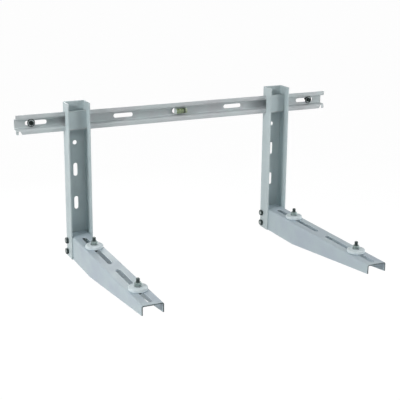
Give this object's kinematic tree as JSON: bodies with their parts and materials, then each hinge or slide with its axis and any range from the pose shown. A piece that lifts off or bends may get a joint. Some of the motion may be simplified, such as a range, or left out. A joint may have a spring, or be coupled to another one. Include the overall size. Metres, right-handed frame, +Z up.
{
  "type": "wall bracket",
  "caption": "Steel wall bracket set: a slotted rail with a spirit level, sliding uprights hooked over it, and tapered arms with bolted rubber feet.",
  "frame": {"origin": "middle of the rail's back face, on the wall plane", "axes": "+X along the rail to the right as seen from the room, +Y into the wall, +Z up"},
  "size_m": [0.8, 0.4808, 0.365],
  "materials": {
    "painted_steel": "satin powder coat, pale blue-grey",
    "dark_bolt_steel": "dark, lightly oiled",
    "zinc_steel": "zinc plated",
    "pad_rubber": "matt pale grey",
    "grey_plastic": "moulded grey",
    "dark_plastic": "moulded dark green",
    "vial_acrylic": "clear acrylic over yellow-green liquid"
  },
  "bodies": {
    "rail": {"rail": "painted_steel", "level_holder": "grey_plastic", "level_left_cap": "grey_plastic", "level_right_cap": "dark_plastic", "level_vial": "vial_acrylic", "wall_screw_left": "dark_bolt_steel", "wall_screw_right": "dark_bolt_steel", "wall_washer_left": "zinc_steel", "wall_washer_right": "zinc_steel"},
    "left_bracket": {"left_upright": "painted_steel", "left_arm": "painted_steel", "left_side_bolt_left_1": "dark_bolt_steel", "left_side_bolt_left_2": "dark_bolt_steel", "left_side_bolt_right_1": "dark_bolt_steel", "left_side_bolt_right_2": "dark_bolt_steel", "left_side_nut_left_1": "dark_bolt_steel", "left_side_nut_left_2": "dark_bolt_steel", "left_side_nut_right_1": "dark_bolt_steel", "left_side_nut_right_2": "dark_bolt_steel", "left_back_foot_pad": "pad_rubber", "left_back_foot_washer": "zinc_steel", "left_back_foot_nut": "dark_bolt_steel", "left_back_foot_bolt": "dark_bolt_steel", "left_front_foot_pad": "pad_rubber", "left_front_foot_washer": "zinc_steel", "left_front_foot_nut": "dark_bolt_steel", "left_front_foot_bolt": "dark_bolt_steel"},
    "right_bracket": {"right_upright": "painted_steel", "right_arm": "painted_steel", "right_side_bolt_left_1": "dark_bolt_steel", "right_side_bolt_left_2": "dark_bolt_steel", "right_side_bolt_right_1": "dark_bolt_steel", "right_side_bolt_right_2": "dark_bolt_steel", "right_side_nut_left_1": "dark_bolt_steel", "right_side_nut_left_2": "dark_bolt_steel", "right_side_nut_right_1": "dark_bolt_steel", "right_side_nut_right_2": "dark_bolt_steel", "right_back_foot_pad": "pad_rubber", "right_back_foot_washer": "zinc_steel", "right_back_foot_nut": "dark_bolt_steel", "right_back_foot_bolt": "dark_bolt_steel", "right_front_foot_pad": "pad_rubber", "right_front_foot_washer": "zinc_steel", "right_front_foot_nut": "dark_bolt_steel", "right_front_foot_bolt": "dark_bolt_steel"}
  },
  "joints": [
    {"name": "left_bracket_slide", "type": "slide", "parent": "rail", "child": "left_bracket", "axis": [1, 0, 0], "range_m": [-0.098, 0.2]},
    {"name": "right_bracket_slide", "type": "slide", "parent": "rail", "child": "right_bracket", "axis": [1, 0, 0], "range_m": [-0.194, 0.104]}
  ]
}
